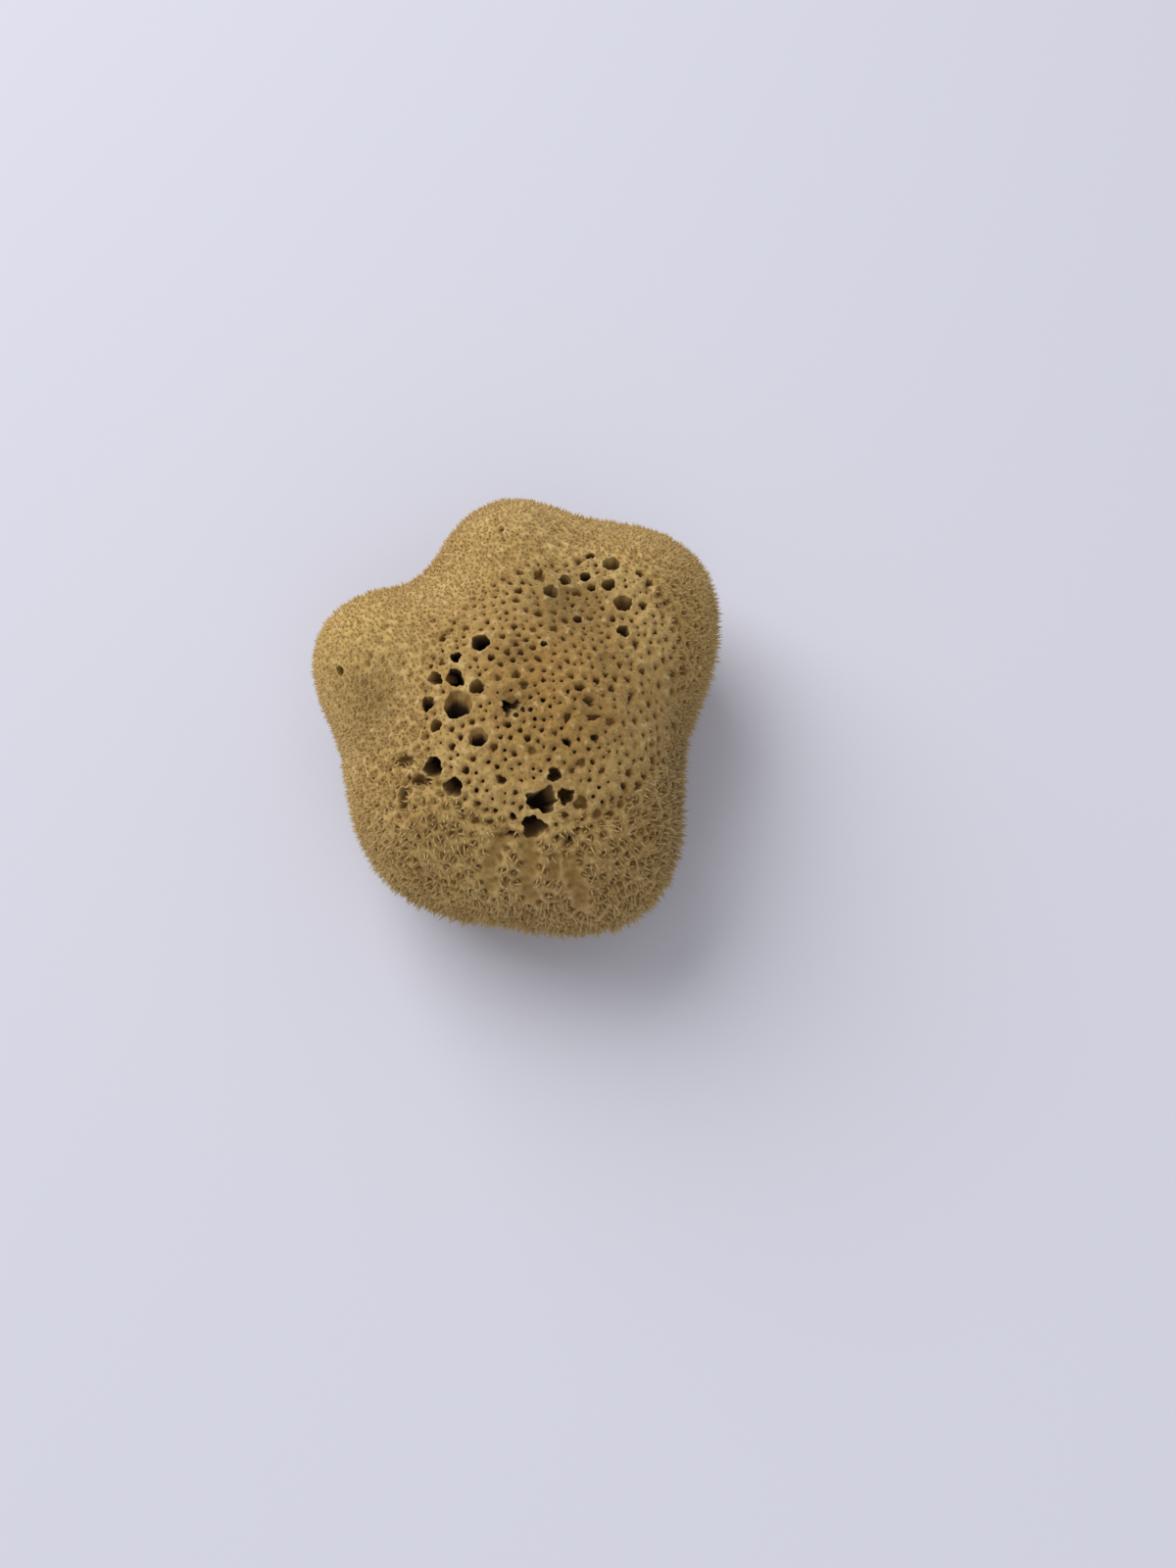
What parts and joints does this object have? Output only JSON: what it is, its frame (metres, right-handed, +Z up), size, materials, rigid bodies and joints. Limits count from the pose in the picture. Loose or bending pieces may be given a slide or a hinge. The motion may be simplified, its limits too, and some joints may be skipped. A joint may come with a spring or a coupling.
{
  "type": "sea sponge",
  "caption": "Natural bath sponge: a lobed, fuzzy body with a field of round water outlets and pores on its crown, cut off flat underneath so that it rests on a shelf.",
  "frame": {"origin": "on the flat cut face that the sponge rests on, under the middle of its lobes", "axes": "+Z up, out of the crown with the water outlets; -Y towards the flank with the furrows, which faces the viewer"},
  "size_m": [0.1241, 0.1365, 0.073],
  "materials": {
    "sponge": "matt fibrous spongin, sandy tan, browner inside the pores"
  },
  "bodies": {
    "root": {"sponge": "sponge"}
  },
  "joints": []
}
